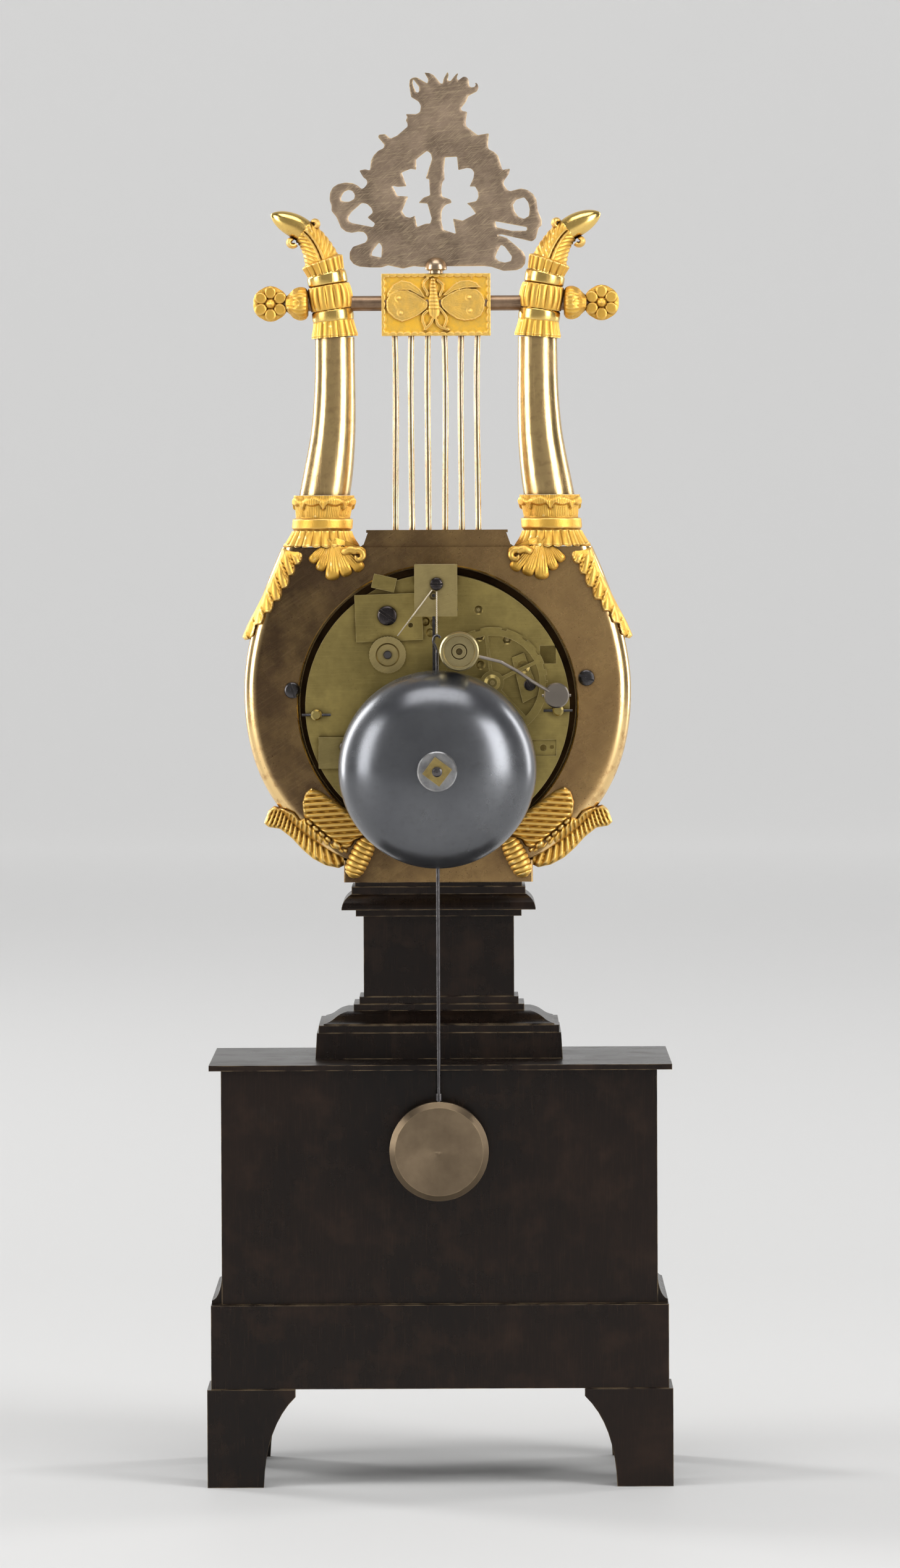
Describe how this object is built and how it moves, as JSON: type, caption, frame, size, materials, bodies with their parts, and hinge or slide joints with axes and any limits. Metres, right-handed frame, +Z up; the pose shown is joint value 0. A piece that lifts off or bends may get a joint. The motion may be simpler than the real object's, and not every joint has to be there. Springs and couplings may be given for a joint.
{
  "type": "mantel_clock",
  "caption": "Lyre-shaped gilt and patinated bronze mantel clock with a silk-suspended pendulum, count-wheel striking and a bell at the rear",
  "frame": {"origin": "on the table surface, under the middle of the whole object's footprint in plan", "axes": "+Z up, -Y out of the rear where the bell and the pendulum hang, +Y out of the dial side, +X to the right seen from the rear"},
  "size_m": [0.1508, 0.1244, 0.4599],
  "materials": {
    "patinated_bronze": "dark brown patinated bronze, worn light at its edges",
    "matte_gilt": "matte mercury-gilt bronze with burnished high points",
    "burnished_gilt": "burnished gilt, worn brown",
    "tarnished_gilt": "dark tarnished, smooth and lightly scratched",
    "bare_brass": "brown oxidised brass with crossing file marks",
    "aged_brass": "aged olive brass with a fine grain",
    "dark_steel": "blued and darkened steel, lightly polished",
    "bell_metal": "dark polished bell metal with a blue-grey skin",
    "silk": "twisted silk thread",
    "enamel": "white enamel on copper",
    "glass": "thin domed clock glass"
  },
  "bodies": {
    "case": {"bracket_feet": "patinated_bronze", "base_band": "patinated_bronze", "base_box": "patinated_bronze", "box_moulding": "patinated_bronze", "base_cap": "patinated_bronze", "pedestal_foot": "patinated_bronze", "pedestal_die": "patinated_bronze", "pedestal_cap": "patinated_bronze", "lyre_body": "tarnished_gilt", "string_yoke": "tarnished_gilt", "shoulder_leaves": "matte_gilt", "lower_leaves": "matte_gilt", "lower_collars": "matte_gilt", "horns": "burnished_gilt", "upper_collars": "matte_gilt", "crossbar": "burnished_gilt", "rosettes": "matte_gilt", "plaque": "matte_gilt", "strings": "burnished_gilt", "cresting": "bare_brass", "cresting_nut": "matte_gilt", "case_screws": "dark_steel", "front_plate": "aged_brass", "back_plate": "aged_brass", "pillars": "aged_brass", "pillar_pins": "dark_steel", "suspension_block": "aged_brass", "plate_cocks": "aged_brass", "plate_screws": "dark_steel", "silk_tail": "silk", "bell_stand": "aged_brass", "bell": "bell_metal", "bell_nut": "aged_brass", "dial_ring": "matte_gilt", "dial": "enamel"},
    "pendulum": {"pendulum_rod": "dark_steel", "pendulum_bob": "aged_brass", "silk_drop": "silk"},
    "pallets": {"pallet_anchor": "dark_steel"},
    "striker": {"hammer": "dark_steel"},
    "silk_winder": {"silk_wheel": "aged_brass"},
    "going_winder": {"going_arbor": "dark_steel"},
    "going_drum": {"going_barrel": "aged_brass"},
    "intermediate": {"intermediate_wheel": "aged_brass"},
    "centre": {"centre_wheel": "aged_brass"},
    "third": {"third_wheel": "aged_brass"},
    "escape": {"escape_wheel": "aged_brass"},
    "strike_winder": {"strike_arbor": "dark_steel"},
    "strike_drum": {"strike_barrel": "aged_brass"},
    "second": {"second_wheel": "aged_brass", "count_wheel": "aged_brass"},
    "pins": {"pin_wheel": "aged_brass"},
    "locking": {"locking_wheel": "aged_brass"},
    "warning": {"warning_wheel": "aged_brass"},
    "fan": {"fly": "aged_brass"},
    "minute": {"minute_hand": "dark_steel"},
    "minute_work": {"minute_wheel": "aged_brass"},
    "hour": {"hour_wheel": "aged_brass"},
    "glazed_bezel": {"bezel": "burnished_gilt", "bezel_glass": "glass"}
  },
  "joints": [
    {"name": "pendulum_swing", "type": "hinge", "parent": "case", "child": "pendulum", "pos_m": [0, -0.03025, 0.29], "axis": [0, -1, 0], "range_deg": [-4.5, 4.5]},
    {"name": "pallets_rock", "type": "hinge", "parent": "case", "child": "pallets", "pos_m": [-0.001, -0.00375, 0.2884], "axis": [0, -1, 0], "range_deg": [-5, 5]},
    {"name": "hammer_lift", "type": "hinge", "parent": "case", "child": "striker", "pos_m": [0.0386, -0.00375, 0.2558], "axis": [0, 1, 0], "range_deg": [0, 12]},
    {"name": "silk_wheel_turn", "type": "hinge", "parent": "case", "child": "silk_winder", "pos_m": [-0.0161, -0.00375, 0.269], "axis": [0, -1, 0], "continuous": true},
    {"name": "going_winding", "type": "hinge", "parent": "case", "child": "going_winder", "pos_m": [-0.019, -0.00375, 0.2391], "axis": [0, -1, 0], "continuous": true},
    {"name": "strike_winding", "type": "hinge", "parent": "case", "child": "strike_winder", "pos_m": [0.019, -0.00375, 0.2391], "axis": [0, -1, 0], "continuous": true},
    {"name": "centre_turn", "type": "hinge", "parent": "case", "child": "centre", "pos_m": [0, -0.00375, 0.2521], "axis": [0, -1, 0], "continuous": true},
    {"name": "intermediate_turn", "type": "hinge", "parent": "case", "child": "intermediate", "pos_m": [-0.0169, -0.00375, 0.2566], "axis": [0, -1, 0], "continuous": true},
    {"name": "going_barrel_turn", "type": "hinge", "parent": "case", "child": "going_drum", "pos_m": [-0.019, -0.00375, 0.2391], "axis": [0, -1, 0], "continuous": true},
    {"name": "third_turn", "type": "hinge", "parent": "case", "child": "third", "pos_m": [0.002, -0.00375, 0.2686], "axis": [0, -1, 0], "continuous": true},
    {"name": "escape_turn", "type": "hinge", "parent": "case", "child": "escape", "pos_m": [-0.001, -0.00375, 0.2792], "axis": [0, -1, 0], "continuous": true},
    {"name": "pin_wheel_turn", "type": "hinge", "parent": "case", "child": "pins", "pos_m": [0.0228, -0.00375, 0.2737], "axis": [0, -1, 0], "continuous": true},
    {"name": "second_turn", "type": "hinge", "parent": "case", "child": "second", "pos_m": [0.01785, -0.00375, 0.2598], "axis": [0, -1, 0], "continuous": true},
    {"name": "strike_barrel_turn", "type": "hinge", "parent": "case", "child": "strike_drum", "pos_m": [0.019, -0.00375, 0.2391], "axis": [0, -1, 0], "continuous": true},
    {"name": "locking_turn", "type": "hinge", "parent": "case", "child": "locking", "pos_m": [0.0139, -0.00375, 0.2747], "axis": [0, -1, 0], "continuous": true},
    {"name": "warning_turn", "type": "hinge", "parent": "case", "child": "warning", "pos_m": [0.0135, -0.00375, 0.2834], "axis": [0, -1, 0], "continuous": true},
    {"name": "fly_turn", "type": "hinge", "parent": "case", "child": "fan", "pos_m": [0.0063, -0.00375, 0.2836], "axis": [0, -1, 0], "continuous": true},
    {"name": "hand_setting", "type": "hinge", "parent": "case", "child": "minute", "pos_m": [0, -0.00375, 0.2521], "axis": [0, -1, 0], "continuous": true},
    {"name": "minute_wheel_turn", "type": "hinge", "parent": "case", "child": "minute_work", "pos_m": [0.01128, -0.00375, 0.2562], "axis": [0, -1, 0], "continuous": true},
    {"name": "hour_turn", "type": "hinge", "parent": "case", "child": "hour", "pos_m": [0, -0.00375, 0.2521], "axis": [0, -1, 0], "continuous": true},
    {"name": "bezel_opening", "type": "hinge", "parent": "case", "child": "glazed_bezel", "pos_m": [0.0542, 0.04085, 0.2521], "axis": [0, 0, -1], "range_deg": [0, 110]}
  ],
  "couplings": [
    {"joint": "pallets_rock", "follows": "pendulum_swing", "ratio": 1.0472},
    {"joint": "intermediate_turn", "follows": "centre_turn", "ratio": -0.15152},
    {"joint": "going_barrel_turn", "follows": "centre_turn", "ratio": 0.025253},
    {"joint": "third_turn", "follows": "centre_turn", "ratio": -10},
    {"joint": "escape_turn", "follows": "centre_turn", "ratio": 140},
    {"joint": "second_turn", "follows": "pin_wheel_turn", "ratio": -0.11111},
    {"joint": "strike_barrel_turn", "follows": "pin_wheel_turn", "ratio": 0.027778},
    {"joint": "locking_turn", "follows": "pin_wheel_turn", "ratio": -10},
    {"joint": "warning_turn", "follows": "pin_wheel_turn", "ratio": 80},
    {"joint": "fly_turn", "follows": "pin_wheel_turn", "ratio": -640},
    {"joint": "minute_wheel_turn", "follows": "hand_setting", "ratio": -0.33333},
    {"joint": "hour_turn", "follows": "hand_setting", "ratio": 0.083333}
  ]
}
